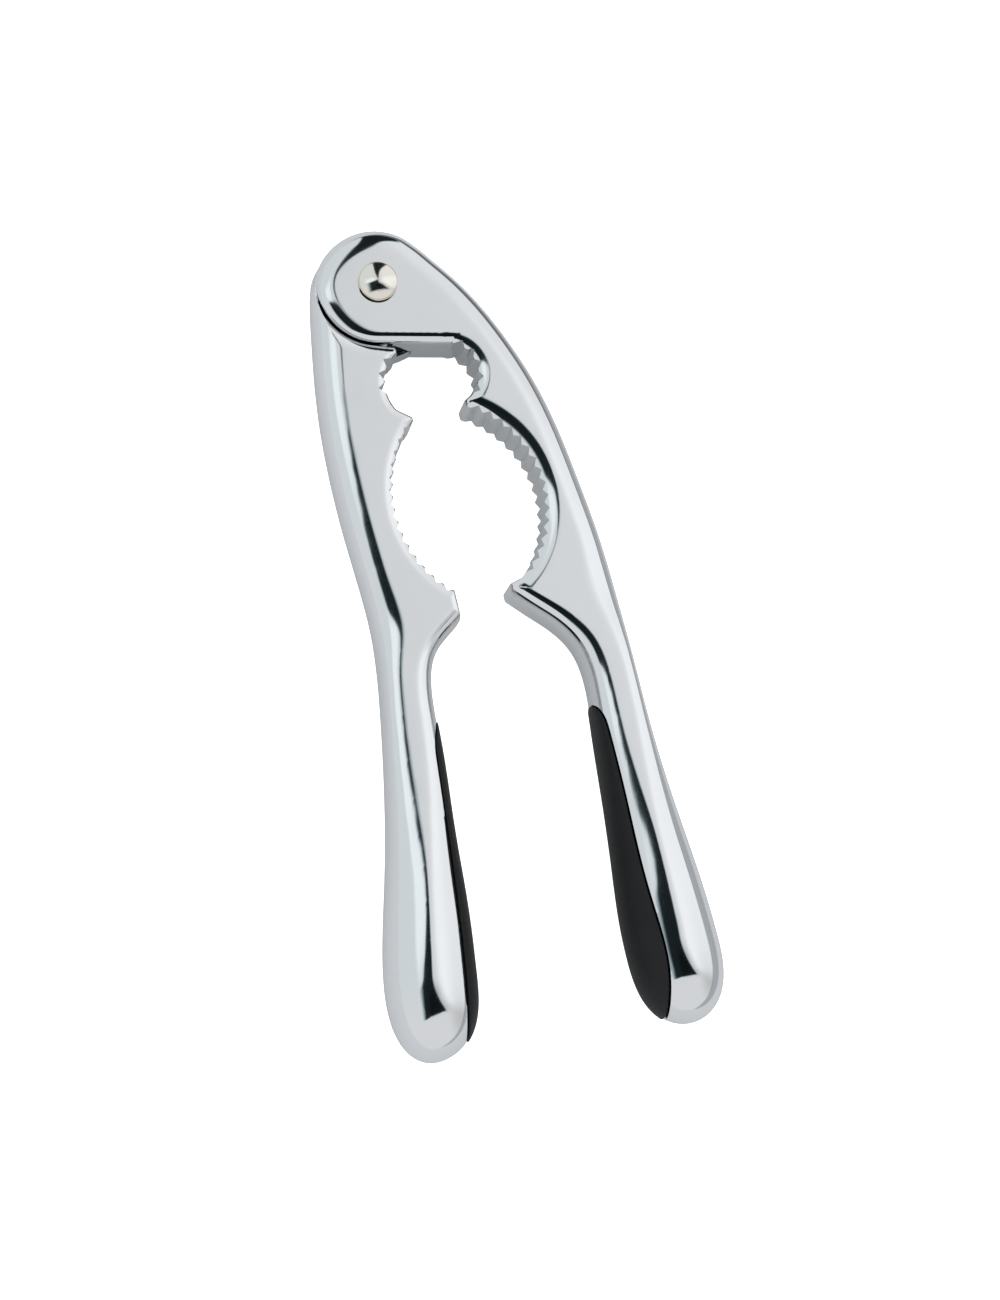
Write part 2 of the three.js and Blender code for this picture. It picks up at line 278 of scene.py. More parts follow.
def contour(field, low, high, cell):
    """Vertices and outward quads of the surface where field is zero. Its edges and corners stay sharp."""
    low = np.array(low, float)
    counts = np.ceil((np.array(high) - low) / cell).astype(int) + 1
    axes = [low[k] + cell * np.arange(counts[k]) for k in range(3)]
    grid = np.meshgrid(*axes, indexing="ij", sparse=True)
    values = np.broadcast_to(field(*grid), counts)
    inside = values < 0
    filled = sum(inside[i:counts[0] - 1 + i, j:counts[1] - 1 + j, k:counts[2] - 1 + k].astype(np.int8)
                 for i in (0, 1) for j in (0, 1) for k in (0, 1))
    active = (filled > 0) & (filled < 8)
    number = np.full(active.shape, -1)
    total = int(active.sum())
    number[active] = np.arange(total)
    corner = low + cell * np.argwhere(active)
    sums = np.zeros((total, 3))
    tally = np.zeros(total)
    matrix = np.zeros((total, 3, 3))
    vector = np.zeros((total, 3))
    quads = []
    for axis in range(3):
        first = tuple(slice(0, -1) if k == axis else slice(None) for k in range(3))
        second = tuple(slice(1, None) if k == axis else slice(None) for k in range(3))
        index = np.argwhere(inside[first] != inside[second])
        v0 = values[first][tuple(index.T)]
        v1 = values[second][tuple(index.T)]
        points = crossings(field, low + cell * index, axis, cell, v0, v1)
        normals = gradient(field, points)
        normals /= np.maximum(np.linalg.norm(normals, axis=1, keepdims=True), 1e-9)
        b, c = (axis + 1) % 3, (axis + 2) % 3
        ring = []
        for db, dc in ((-1, -1), (0, -1), (0, 0), (-1, 0)):
            near = index.copy()
            near[:, b] += db
            near[:, c] += dc
            cells = number[tuple(near.T)]
            ring.append(cells)
            local = points - corner[cells]
            along = (normals * local).sum(axis=1)
            tally += np.bincount(cells, minlength=total)
            for k in range(3):
                sums[:, k] += np.bincount(cells, local[:, k], total)
                vector[:, k] += np.bincount(cells, normals[:, k] * along, total)
                for m in range(3):
                    matrix[:, k, m] += np.bincount(cells, normals[:, k] * normals[:, m], total)
        ring = np.stack(ring, axis=1)
        outward = v0 < 0
        quads.append(np.where(outward[:, None], ring, ring[:, ::-1]))
    centre = sums / tally[:, None]
    rest = vector - np.einsum("nij,nj->ni", matrix, centre)
    offset = np.linalg.solve(matrix + 0.01 * np.eye(3), rest[:, :, None])[:, :, 0]
    vertices = corner + np.clip(centre + offset, -0.05 * cell, 1.05 * cell)
    for _ in range(2):
        slope = gradient(field, vertices)
        size = np.maximum((slope * slope).sum(axis=1), 1e-9)
        move = -(field(*vertices.T) / size)[:, None] * slope
        vertices += np.clip(move, -0.2 * cell, 0.2 * cell)
    return vertices, np.concatenate(quads)


def shade(mesh):
    """Smooth shading with the sharper edges left sharp."""
    mesh.shade_smooth()
    mesh.set_sharp_from_angle(angle=math.radians(SHARP_ANGLE))


def space(plan, reach):
    """Low and high corner of the space over a plan, from -reach to reach in height."""
    reach = round(reach, 3)
    low, high = plan
    return (*low, -reach), (*high, reach)


def mesh_object(name, vertices, faces):
    """A mesh object from points in millimetres about the hinge."""
    mesh = bpy.data.meshes.new(name)
    points = np.asarray(vertices) * MM + np.array(HINGE)
    mesh.from_pydata(points.tolist(), [], [list(face) for face in faces])
    mesh.validate()
    shade(mesh)
    piece = bpy.data.objects.new(name, mesh)
    bpy.context.scene.collection.objects.link(piece)
    return piece


# ---- shape of the castings, as fields: negative inside, in steps of a rounding's width ----
STEP = 3    # width of a usual rounding: plain distances are divided by it, to rise as fast as the others


def rounded(depth, drop, width, height, power=3.0, cap=0.0):
    """A wall with a rounded top edge. Depth and drop run into the metal from the wall and from the face."""
    u = np.maximum(0, 1 - depth / width)
    v = np.maximum(0, 1 - drop / height)
    return np.sqrt(u ** power + v * v + cap) - 1


class Arm:
    """What both castings share: a bar of rounded section that swells into a handle bulb."""

    def __init__(self, shape, side, outside, inside, crown, bulb_y, end_y, nose):
        self.side, self.nose = side, nose
        self.outside, self.inside = spline(outside), spline(inside)
        self.crown, self.swell = spline(crown), spline(SWELL)
        self.plate, self.bulb = shape.plate_half, shape.bulb_half
        self.bulb_y, self.end_y = bulb_y, end_y

    def height(self, y, grow=0.0):
        return lerp(self.plate, self.bulb, np.clip(self.swell(y), 0, 1)) + grow

    def bar(self, x, y, z, outer_wall=None, grow=0.0):
        outer, inner = self.side * self.outside(y) + grow, self.side * self.inside(y) - grow
        crown = (outer + inner) / 2 + self.crown(y)
        height = self.height(y, grow)
        # a flat plate with rounded edges at the jaw, then a full round section, squarest at the waist
        roundness = ramp(-y, 60, 92)
        power = 3 + 1.6 * roundness - 2.6 * ramp(-y, 88, 136)
        out_width = lerp(self.nose / slant(self.outside, y), outer - crown, roundness)
        in_width = lerp(2.0 / slant(self.inside, y), crown - inner, roundness)
        in_drop = lerp(2.6, height, roundness)
        across = self.side * x
        depth = outer - across
        if outer_wall is not None:
            depth = outer_wall(depth)
        drop = height - np.abs(z)
        cap = np.maximum(0, (self.bulb_y - y) / (self.bulb_y - self.end_y + grow)) ** 3
        return np.maximum(rounded(depth, drop, out_width, height, power, cap),
                          rounded(across - inner, drop, in_width, in_drop, power, cap))


def line_height(x, y, px, py, angle):
    """Height of a point above the line through (px, py) that runs at an angle to the X axis."""
    return (y - py) * math.cos(angle) - (x - px) * math.sin(angle)


def polar(x, y):
    """Distance from the hinge, and the bearing in degrees from 0 to 360."""
    return np.hypot(x, y), np.degrees(np.arctan2(y, x)) % 360


def right_arm_of(shape):
    return Arm(shape, 1, RIGHT_OUTSIDE, RIGHT_INSIDE, RIGHT_CROWN, -150, -167.5, 6.2)


def left_arm_of(shape):
    return Arm(shape, -1, LEFT_OUTSIDE, LEFT_INSIDE, LEFT_CROWN, -146, -163.4, 6.0)


def right_field(shape):
    arm = right_arm_of(shape)
    radius = shape.head_radius
    grip_cut = spline(RIGHT_GRIP_CUT)
    web_x, web_y = radius * math.cos(WEB_ANGLE), radius * math.sin(WEB_ANGLE)
    web_slope = WEB_ANGLE + math.pi / 2

    def field(x, y, z):
        r, theta = polar(x, y)
        drop = arm.height(y) - np.abs(z)
        # the bar's own outer edge runs into the head's circle
        on_head = ramp((theta + 102) % 360, 138, 154)
        head_depth = radius - r
        over = (theta > 52) & (theta < WEB_DEGREES)

        def wall(depth):
            return lerp(depth, head_depth / slant(arm.outside, y), on_head)

        bar = arm.bar(x, y, z, wall)
        # the head's rim is rounded less on its way round to the web
        rim_width = 6.2 - 2.4 * ramp(theta, 95, 190) - 0.8 * ramp(theta, 200, 256)
        rim_height = arm.plate - 4.8 * ramp(theta, 105, 200) - 0.6 * ramp(theta, 205, 256)
        rim = rounded(head_depth, drop, rim_width, rim_height)
        web_depth = line_height(x, y, web_x, web_y, web_slope)
        web = rounded(np.maximum(x - TIP_X, web_depth), drop, 3.0, 1.6)
        solid = np.where(over, rim, np.maximum(bar, web))
        # jaw hollows
        crescent = np.hypot(x - RIGHT_CRESCENT.x, y - RIGHT_CRESCENT.y) - RIGHT_CRESCENT.radius
        hollow = np.maximum(crescent, -line_height(x, y, *RIGHT_TIP_CUT))
        bevel = rounded(hollow + 0.4, drop, 4.2, 2.0, 2.5)
        solid = np.maximum(solid, np.maximum(bevel, -hollow / STEP))
        recess = np.hypot(x - RIGHT_RECESS.x, y - RIGHT_RECESS.y) - RIGHT_RECESS.radius
        solid = np.maximum(solid, rounded(np.maximum(recess, TIP_X - x), drop, 3.2, 1.4))
        # hinge hole, room for the left arm's lug, and the grip's pocket
        solid = np.maximum(solid, SHANK_RADIUS + LAP_GAP - r)
        solid = np.maximum(solid, np.minimum(REAR_RECESS - r, LAP_Z - z) / STEP)
        return np.maximum(solid, np.where(y < RIGHT_POCKET_Y, (grip_cut(y) - x) / STEP, -1.0))

    return field


def left_field(shape):
    arm = left_arm_of(shape)
    radius = shape.head_radius
    grip_cut = spline(LEFT_GRIP_CUT)
    sweep_angle = WEB_ANGLE - CLOSE_ANGLE
    sweep_radius = radius + EAR_CLEARANCE
    sweep_x, sweep_y = sweep_radius * math.cos(sweep_angle), sweep_radius * math.sin(sweep_angle)
    floor_z = LAP_Z - LAP_GAP

    def field(x, y, z):
        r, theta = polar(x, y)
        drop = arm.height(y) - np.abs(z)
        head_depth = radius - r
        on_head = 1 - ramp(theta, 128, 146)
        over = (theta < 128) | (theta > 272)

        def wall(depth):
            return lerp(depth, head_depth / slant(arm.outside, y), on_head)

        bar = arm.bar(x, y, z, wall)
        swell = ramp((theta + 90) % 360, 2, 70)
        rim = rounded(head_depth, drop, lerp(1.5, 6.0, swell), lerp(1.1, arm.plate, swell))
        side = rounded(np.maximum(head_depth, 0.5 - x), drop, 1.5, 1.1)
        solid = np.where(over, rim, np.maximum(bar, side))
        # a boss behind the ear that fills the slot beside the web
        boss = np.maximum(np.maximum(r - BOSS_RADIUS, x - BOSS_X), np.maximum(y + 8, z - LAP_Z + LAP_GAP))
        solid = np.minimum(solid, boss / STEP)
        # jaw hollows
        crescent = np.hypot(x - LEFT_CRESCENT.x, y - LEFT_CRESCENT.y) - LEFT_CRESCENT.radius
        hollow = np.maximum(crescent, -line_height(x, y, *LEFT_TIP_CUT))
        solid = np.maximum(solid, rounded(hollow, drop, 2.8, 1.1))
        recess = np.hypot(x - LEFT_RECESS.x, y - LEFT_RECESS.y) - LEFT_RECESS.radius
        recess = np.maximum(recess, line_height(x, y, *LEFT_RECESS_CUT))
        solid = np.maximum(solid, rounded(recess, drop, 2.0, 1.0))
        point = np.maximum(np.maximum(LEFT_POINT_X - x, -38 - y), y + 17)
        tip = np.maximum(LEFT_TIP_X - x, y + 60)
        solid = np.maximum(solid, rounded(np.minimum(point, tip), drop, 1.2, 0.8))
        # shoulder round the front ear
        web_depth = -line_height(x, y, sweep_x, sweep_y, sweep_angle + math.pi / 2)
        past = (theta > math.degrees(sweep_angle)) | (theta < 40)
        run_out = 1.5 * (1 - ramp(theta, 160, 176))    # leaves no thin lip at the shoulder's outer end
        shoulder = np.where(past, web_depth, r - sweep_radius - run_out)
        solid = np.maximum(solid, np.minimum(rounded(shoulder, drop, 3.0, 2.0), (z - floor_z) / STEP))
        # hinge hole, washer seats and the grip's pocket
        solid = np.maximum(solid, SHANK_RADIUS + LAP_GAP - r)
        thrust = np.minimum(THRUST_SEAT[0] - r, z - floor_z + THRUST_SEAT[1])
        tail = np.minimum(TAIL_SEAT[0] - r, TAIL_SEAT[1] - arm.plate - z)
        solid = np.maximum(solid, np.maximum(thrust, tail) / STEP)
        return np.maximum(solid, np.where(y < LEFT_POCKET_Y, (x - grip_cut(y)) / STEP, -1.0))

    return field


def grip_field(shape, arm, cut, top):
    """A grip: the handle's own section, a little proud, on the near side of its pocket's floor."""
    grip_cut = spline(cut)

    def field(x, y, z):
        skin = arm.bar(x, y, z, grow=shape.grip_proud)
        depth = np.minimum(arm.side * (grip_cut(y) - x) - GRIP_GAP, top - y)
        u = np.maximum(0, 1 - depth / GRIP_EDGE)
        v = np.maximum(0, 1 + skin * arm.plate / GRIP_EDGE)
        return np.sqrt(u * u + v * v) - 1

    return field


# ---- nodes ----
class Wire:
    """An output socket of a node. Sums and products with it add Math nodes."""

    def __init__(self, graph, socket):
        self.graph, self.socket = graph, socket

    def math(self, operation, *others):
        inputs = dict(enumerate((self, *others)))
        return self.graph.node("ShaderNodeMath", {"operation": operation}, inputs)

    def __add__(self, other):
        return self.math("ADD", other)

    def __mul__(self, other):
        return self.math("MULTIPLY", other)

    def __sub__(self, other):
        return self.math("SUBTRACT", other)

    def __rsub__(self, other):
        return self * -1 + other

    def __truediv__(self, other):
        return self.math("DIVIDE", other)

    __radd__ = __add__
    __rmul__ = __mul__

    def between(self, low, high, soft):
        """1 where the value lies between low and high, fading to 0 over a width of soft on either side."""
        return self.rise(low, soft) * (1 - self.rise(high, soft))

    def rise(self, edge, soft):
        """0 below the edge and 1 above it, changing over a width of soft on either side."""
        return self.graph.node("ShaderNodeMapRange", {"interpolation_type": "SMOOTHSTEP"},
                               {0: self, 1: edge - soft, 2: edge + soft, 3: 0.0, 4: 1.0})


class Graph:
    """A node tree, filled one node at a time."""

    def __init__(self, tree):
        self.tree = tree
        tree.nodes.clear()

    def node(self, kind, settings=None, inputs=None, output=0):
        made = self.tree.nodes.new(kind)
        for name, value in (settings or {}).items():
            setattr(made, name, value)
        for name, value in (inputs or {}).items():
            if isinstance(value, Wire):
                self.tree.links.new(value.socket, made.inputs[name])
            else:
                made.inputs[name].default_value = value
        return Wire(self, made.outputs[output]) if made.outputs else None

    def separate(self, vector):
        first = self.node("ShaderNodeSeparateXYZ", inputs={0: vector})
        return [Wire(self, socket) for socket in first.socket.node.outputs]

    def noise(self, place, scale, detail=2.0, roughness=0.5):
        return self.node("ShaderNodeTexNoise", inputs={
            "Vector": place, "Scale": scale, "Detail": detail, "Roughness": roughness})

    def mix(self, factor, first, second):
        return self.node("ShaderNodeMix", {"data_type": "RGBA"}, {0: factor, 6: first, 7: second}, output=2)


def new_material(name):
    """An empty material, its graph, and the place on the piece as a vector in metres."""
    material = bpy.data.materials.new(name)
    material.use_nodes = True
    graph = Graph(material.node_tree)
    place = graph.node("ShaderNodeTexCoord", output=3)
    return material, graph, place


def finished(material, graph, shader):
    """The material, with its shader wired to the output."""
    graph.node("ShaderNodeOutputMaterial", inputs={"Surface": shader})
    return material


def rgba(colour, share=1.0):
    """A colour for a node's input, made darker or lighter by a share."""
    return tuple(share * c for c in colour) + (1.0,)


def hinge_radius(graph, place):
    """Distance from the hinge axis, in metres."""
    x, y, _ = graph.separate(place)
    across, along = x - HINGE.x, y - HINGE.y
    return (across * across + along * along).math("SQRT")


def chrome_material(colour):
    """Polished plating over a die casting: a long faint wave in the surface, and haze from handling."""
    material, graph, place = new_material("Plated chrome")
    wave = graph.noise(place, 90.0, 1.0)
    haze = graph.noise(place, 260.0, 3.0)
    tone = graph.mix(graph.noise(place, 60.0, 2.0), rgba(colour, 0.97), rgba(colour))
    bump = graph.node("ShaderNodeBump", inputs={"Strength": 0.12, "Distance": 0.0004, "Height": wave})
    shader = graph.node("ShaderNodeBsdfPrincipled", inputs={
        "Base Color": tone, "Metallic": 1.0, "Roughness": haze * 0.03 + 0.045, "Normal": bump})
    return finished(material, graph, shader)


def nickel_material(colour):
    """The rivet: nickel over a drawn steel head, with fine rings from the forming tool."""
    material, graph, place = new_material("Rivet nickel")
    radius = hinge_radius(graph, place)
    rings = (radius * 26000.0).math("SINE")
    edge = radius.rise(0.00405, 0.0002)
    cloud = graph.noise(place, 900.0, 3.0)
    tone = graph.mix(edge, rgba(colour), rgba(NICKEL_EDGE))
    bump = graph.node("ShaderNodeBump", inputs={
        "Strength": 0.05, "Distance": 0.00002, "Height": rings + cloud})
    shader = graph.node("ShaderNodeBsdfPrincipled", inputs={
        "Base Color": tone, "Metallic": 1.0, "Roughness": cloud * 0.06 + 0.07, "Normal": bump})
    return finished(material, graph, shader)


def steel_material(colour):
    """Pressed washers: dull steel with a faint turned grain."""
    material, graph, place = new_material("Washer steel")
    grain = (hinge_radius(graph, place) * 18000.0).math("SINE") * 0.5 + graph.noise(place, 1500.0, 3.0)
    tone = graph.mix(graph.noise(place, 500.0, 2.0), rgba(colour, 0.8), rgba(colour, 1.1))
    bump = graph.node("ShaderNodeBump", inputs={"Strength": 0.2, "Distance": 0.00003, "Height": grain})
    shader = graph.node("ShaderNodeBsdfPrincipled", inputs={
        "Base Color": tone, "Metallic": 1.0, "Roughness": grain * 0.1 + 0.25, "Normal": bump})
    return finished(material, graph, shader)


def rubber_material(colour):
    """The grips: moulded rubber with a fine spark-eroded grain."""
    material, graph, place = new_material("Grip rubber")
    grain = graph.noise(place, 2600.0, 2.0)
    cloud = graph.noise(place, 120.0, 2.0)
    tone = graph.mix(cloud, rgba(colour, 0.7), rgba(colour, 1.5))
    bump = graph.node("ShaderNodeBump", inputs={"Strength": 0.35, "Distance": 0.00006, "Height": grain})
    shader = graph.node("ShaderNodeBsdfPrincipled", inputs={
        "Base Color": tone, "Roughness": cloud * 0.1 + 0.5, "Specular IOR Level": 0.25, "Normal": bump})
    return finished(material, graph, shader)


def finish_named(name, colours):
    """The material of that finish, made the first time it is asked for."""
    makers = {"Plated chrome": (chrome_material, colours.chrome),
              "Rivet nickel": (nickel_material, colours.nickel),
              "Washer steel": (steel_material, colours.steel),
              "Grip rubber": (rubber_material, colours.rubber)}
    maker, colour = makers[name]
    return bpy.data.materials.get(name) or maker(tuple(colour))


# ---- teeth ----
def tooth_tree():
    """A row of V-shaped cutters on an arc, each with its edge outwards."""
    tree = bpy.data.node_groups.new("Jaw teeth", "GeometryNodeTree")
    graph = Graph(tree)
    sockets = (("Count", "Int"), ("Centre", "Vector"), ("Arc Radius", "Float"), ("First Angle", "Float"),
               ("Sweep", "Float"), ("Depth", "Float"), ("Half Width", "Float"), ("Length", "Float"),
               ("Material", "Material"))
    for name, kind in sockets:
        tree.interface.new_socket(name=name, in_out="INPUT", socket_type="NodeSocket" + kind)
    tree.interface.new_socket(name="Geometry", in_out="OUTPUT", socket_type="NodeSocketGeometry")
    outputs = graph.node("NodeGroupInput").socket.node.outputs
    given = {name: Wire(graph, outputs[name]) for name, _ in sockets}
    arc = graph.node("GeometryNodeCurveArc", inputs={
        "Resolution": given["Count"], "Radius": given["Arc Radius"],
        "Start Angle": given["First Angle"], "Sweep Angle": given["Sweep"]})
    x, y, _ = graph.separate(graph.node("GeometryNodeInputPosition"))
    turn = graph.node("ShaderNodeCombineXYZ", inputs={2: y.math("ARCTAN2", x)})
    wedge = graph.node("GeometryNodeMeshCylinder", inputs={
        "Vertices": 3, "Radius": 1.0, "Depth": given["Length"]})
    size = graph.node("ShaderNodeCombineXYZ", inputs={
        0: given["Depth"], 1: given["Half Width"] * math.sqrt(3), 2: 1.0})
    row = graph.node("GeometryNodeInstanceOnPoints", inputs={
        "Points": arc, "Instance": wedge, "Rotation": turn, "Scale": size})
    placed = graph.node("GeometryNodeTransform", inputs={"Geometry": row, "Translation": given["Centre"]})
    solid = graph.node("GeometryNodeRealizeInstances", inputs={0: placed})
    done = graph.node("GeometryNodeSetMaterial", inputs={"Geometry": solid, "Material": given["Material"]})
    graph.node("NodeGroupOutput", inputs={0: done})
    return tree


def flattened(piece):
    """Applies a piece's modifiers to its mesh."""
    evaluated = piece.evaluated_get(bpy.context.evaluated_depsgraph_get())
    mesh = bpy.data.meshes.new_from_object(evaluated)
    piece.modifiers.clear()
    old, piece.data = piece.data, mesh
    bpy.data.meshes.remove(old)
    mesh.name = piece.name
    return piece


def tooth_cutter(arc, depth, material):
    """The cutters of one hollow, as one piece."""
    cutter = bpy.data.objects.new("tooth_cutter", bpy.data.meshes.new("tooth_cutter"))
    bpy.context.scene.collection.objects.link(cutter)
    tree = bpy.data.node_groups.get("Jaw teeth") or tooth_tree()
    modifier = cutter.modifiers.new("Teeth", "NODES")
    modifier.node_group = tree
    pitch = (arc.end - arc.start) / arc.count
    values = {
        "Count": arc.count,
        "Centre": HINGE + MM * Vector((arc.x, arc.y, 0)),
        "Arc Radius": arc.radius * MM,
        "First Angle": math.radians(arc.start + pitch / 2),
        "Sweep": math.radians(pitch * (arc.count - 1)),
        "Depth": depth * arc.deep * MM,
        "Half Width": TOOTH_SHARE * abs(math.radians(pitch)) * arc.radius * MM,
        "Length": TOOTH_LENGTH * MM,
        "Material": material}
    for item in tree.interface.items_tree:
        if item.in_out == "INPUT":
            modifier[item.identifier] = values[item.name]
    return flattened(cutter)


def casting(context, name, field, plan, arcs):
    """One arm: its field's surface, with the jaw teeth cut through it."""
    shape = in_mm(context.scene.nutcracker_sizes)
    material = finish_named("Plated chrome", context.scene.nutcracker_colours)
    low, high = space(plan, max(shape.plate_half, shape.bulb_half) + 0.6)
    piece = mesh_object(name, *contour(field(shape), low, high, shape.mesh_step))
    piece.data.materials.append(material)
    cutters = [tooth_cutter(arc, shape.tooth_depth, material) for arc in arcs]
    for cutter in cutters:
        cut = piece.modifiers.new("Teeth", "BOOLEAN")
        cut.operation, cut.solver, cut.object = "DIFFERENCE", "MANIFOLD", cutter
    flattened(piece)
    for cutter in cutters:
        bpy.data.objects.remove(cutter)
    shade(piece.data)
    return piece


# ---- turned pieces ----
def arc_points(centre, radius, start, end, count):
    """Points on an arc, in degrees anticlockwise from the first axis."""
    angles = np.radians(np.linspace(start, end, count))
    return [(centre[0] + radius * math.cos(a), centre[1] + radius * math.sin(a)) for a in angles]


def turned(name, profile, material, closed=False, sides=128):
    """A piece turned about the hinge axis. Its profile is (radius, height) points, anticlockwise."""
    vertices, rings = [], []
    for radius, height in profile:
        count = sides if radius > 1e-6 else 1
        rings.append(range(len(vertices), len(vertices) + count))
        for k in range(count):
            angle = 2 * math.pi * k / sides
            vertices.append((radius * math.cos(angle), radius * math.sin(angle), height))
    faces = []
    pairs = list(zip(rings, rings[1:])) + ([(rings[-1], rings[0])] if closed else [])
    for low, high in pairs:
        for k in range(sides):
            a, b = low[k % len(low)], low[(k + 1) % len(low)]
            c, d = high[(k + 1) % len(high)], high[k % len(high)]
            faces.append(list(dict.fromkeys((a, b, c, d))))    # a triangle where the ring is one point
    piece = mesh_object(name, vertices, faces)
    piece.data.materials.append(material)
    return piece


def washer(name, inner, outer, low, high, edge, material):
    """A pressed ring with rounded edges."""
    corners = ((inner + edge, low + edge, 180, 270), (outer - edge, low + edge, 270, 360),
               (outer - edge, high - edge, 0, 90), (inner + edge, high - edge, 90, 180))
    profile = [p for x, z, a, b in corners for p in arc_points((x, z), edge, a, b, 5)]
    return turned(name, profile, material, closed=True)


def ride(piece, body, slot, *nodes):
    """Says which body a piece moves with, and hides the nodes it stands for. Its slot is not used."""
    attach(piece, body)
    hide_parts(*nodes)


# ---- operators ----
class NUTCRACKER_OT_right_arm(bpy.types.Operator):
    """Casts the right arm with its jaw, toothed hollows and handle"""

    bl_idname = "nutcracker.right_arm"
    bl_label = "Right arm"

    def execute(self, context):
        arcs = RIGHT_CRESCENT, RIGHT_RECESS
        piece = casting(context, "right_arm_casting", right_field, RIGHT_ARM_PLAN, arcs)
        ride(piece, "right_lever", "chrome_casting", "right_arm")
        return {"FINISHED"}


class NUTCRACKER_OT_left_arm(bpy.types.Operator):
    """Casts the left arm with its lug, toothed hollows and handle"""

    bl_idname = "nutcracker.left_arm"
    bl_label = "Left arm"

    def execute(self, context):
        arcs = LEFT_CRESCENT, LEFT_RECESS
        piece = casting(context, "left_arm_casting", left_field, LEFT_ARM_PLAN, arcs)
        ride(piece, "left_lever", "chrome_casting", "left_arm")
        return {"FINISHED"}


class NUTCRACKER_OT_grips(bpy.types.Operator):
    """Moulds the two rubber grips into the handles"""

    bl_idname = "nutcracker.grips"
    bl_label = "Grips"

    def execute(self, context):
        shape = in_mm(context.scene.nutcracker_sizes)
        material = finish_named("Grip rubber", context.scene.nutcracker_colours)
        reach = max(shape.plate_half, shape.bulb_half) + shape.grip_proud + 0.5
        for side, arm, cut, top, plan in (
                ("right", right_arm_of(shape), RIGHT_GRIP_CUT, RIGHT_GRIP_TOP, RIGHT_GRIP_PLAN),
                ("left", left_arm_of(shape), LEFT_GRIP_CUT, LEFT_GRIP_TOP, LEFT_GRIP_PLAN)):
            field = grip_field(shape, arm, cut, top)
            low, high = space(plan, reach)
            piece = mesh_object(side + "_grip_inlay", *contour(field, low, high, shape.mesh_step))
            piece.data.materials.append(material)
            ride(piece, side + "_lever", "grip_rubber", side + "_grip")
        return {"FINISHED"}


class NUTCRACKER_OT_hinge(bpy.types.Operator):
    """Turns the hinge rivet and its two washers"""

    bl_idname = "nutcracker.hinge"
    bl_label = "Rivet and washers"

    def execute(self, context):
        colours = context.scene.nutcracker_colours
        nickel = finish_named("Rivet nickel", colours)
        steel = finish_named("Washer steel", colours)
        edge = arc_points((RIVET_HEAD - RIVET_EDGE, RIVET_EDGE_Z), RIVET_EDGE, 0, 60, 9)
        dome = arc_points((0, DOME_Z), DOME_RADIUS, 61, 90, 24)[:-1]
        front = [(RIVET_HEAD, SHANK_HALF)] + edge + dome
        back = [(radius, -height - TAIL_DROP) for radius, height in reversed(edge + dome)]
        back.append((RIVET_HEAD, -SHANK_HALF))
        shank = [(SHANK_RADIUS, -SHANK_HALF), (SHANK_RADIUS, SHANK_HALF)]
        top = DOME_Z + DOME_RADIUS
        rivet = turned("hinge_rivet", [(0, -top - TAIL_DROP), *back, *shank, *front, (0, top)], nickel)
        ride(rivet, "right_lever", "nickel_rivet", "pivot_rivet")
        thrust = washer("bearing_washer", *THRUST_WASHER, steel)
        ride(thrust, "right_lever", "steel_washer", "thrust_washer")
        backing = washer("backing_washer", *TAIL_WASHER, steel)
        ride(backing, "right_lever", "steel_washer", "tail_washer")
        return {"FINISHED"}


class NUTCRACKER_OT_stage(bpy.types.Operator):
    """Sets up the floor, the light tent and the camera"""

    bl_idname = "nutcracker.stage"
    bl_label = "Stage"

    def execute(self, context):
        colours = context.scene.nutcracker_colours
        lay_floor(tuple(colours.floor))
        hang_tent()
        place_camera(context)
        return {"FINISHED"}


# ---- stage ----
def sheet_material(name, near, far, corner, glow):
    """Paper with a painted shadow of the tool: it darkens to the right of the tool, most of all past its
    hinge.
    """
    material, graph, place = new_material(name)
    x, y, _ = graph.separate(place)
    # painted shadow of the tool: the far colour to its right, and the corner colour past its hinge
    right = (x + 0.18 * y).rise(0.054, 0.008)
    tone = graph.mix(graph.noise(place, 4.0, 2.0), rgba(near, 0.99), rgba(near))
    tone = graph.mix(right, tone, rgba(far))
    tone = graph.mix(right * y.rise(0.08, 0.03), tone, rgba(corner))
    shader = graph.node("ShaderNodeBsdfPrincipled", inputs={
        "Base Color": tone, "Roughness": 0.9, "Specular IOR Level": 0.1,
        "Emission Color": tone, "Emission Strength": glow})
    return finished(material, graph, shader)


def lay_sheet(name, z, material):
    """A wide flat sheet at a height."""
    mesh = bpy.data.meshes.new(name)
    corners = [(x * SHEET_HALF, y * SHEET_HALF, z) for x, y in ((-1, -1), (1, -1), (1, 1), (-1, 1))]
    mesh.from_pydata(corners, [], [(0, 1, 2, 3)])
    mesh.materials.append(material)
    sheet = bpy.data.objects.new(name, mesh)
    bpy.context.scene.collection.objects.link(sheet)
    return sheet


def lay_floor(colour):
    """A light table, and the grey card that polished pieces show in its place, with a painted shadow of the
    tool on it.
    """
    table = lay_sheet("light_table", 0.0, sheet_material("Light table", colour, colour, colour, 1.0))
    table.visible_glossy = table.visible_diffuse = table.visible_shadow = False
    # the card's darker colours are the painted shadow of the tool
    grey = sheet_material("Grey card", CARD_NEAR, CARD_SHADOW, CARD_DEEP_SHADOW, 0.0)
    card = lay_sheet("card", CARD_Z, grey)
    card.visible_camera = False


def lens_board(x, y, above):
    """A black board over the lens with a slanted right side, and how far past that side a place is."""
    past_side = x - 1.05 * (0.1 - y).math("MAXIMUM", 0.0)
    board = (0.23 + 0.15 * x - y).rise(0.0, 0.012) * y.rise(-0.335, 0.012) * x.rise(-0.47, 0.12)
    return board * (1 - past_side.rise(0.1, 0.035)) * above, past_side


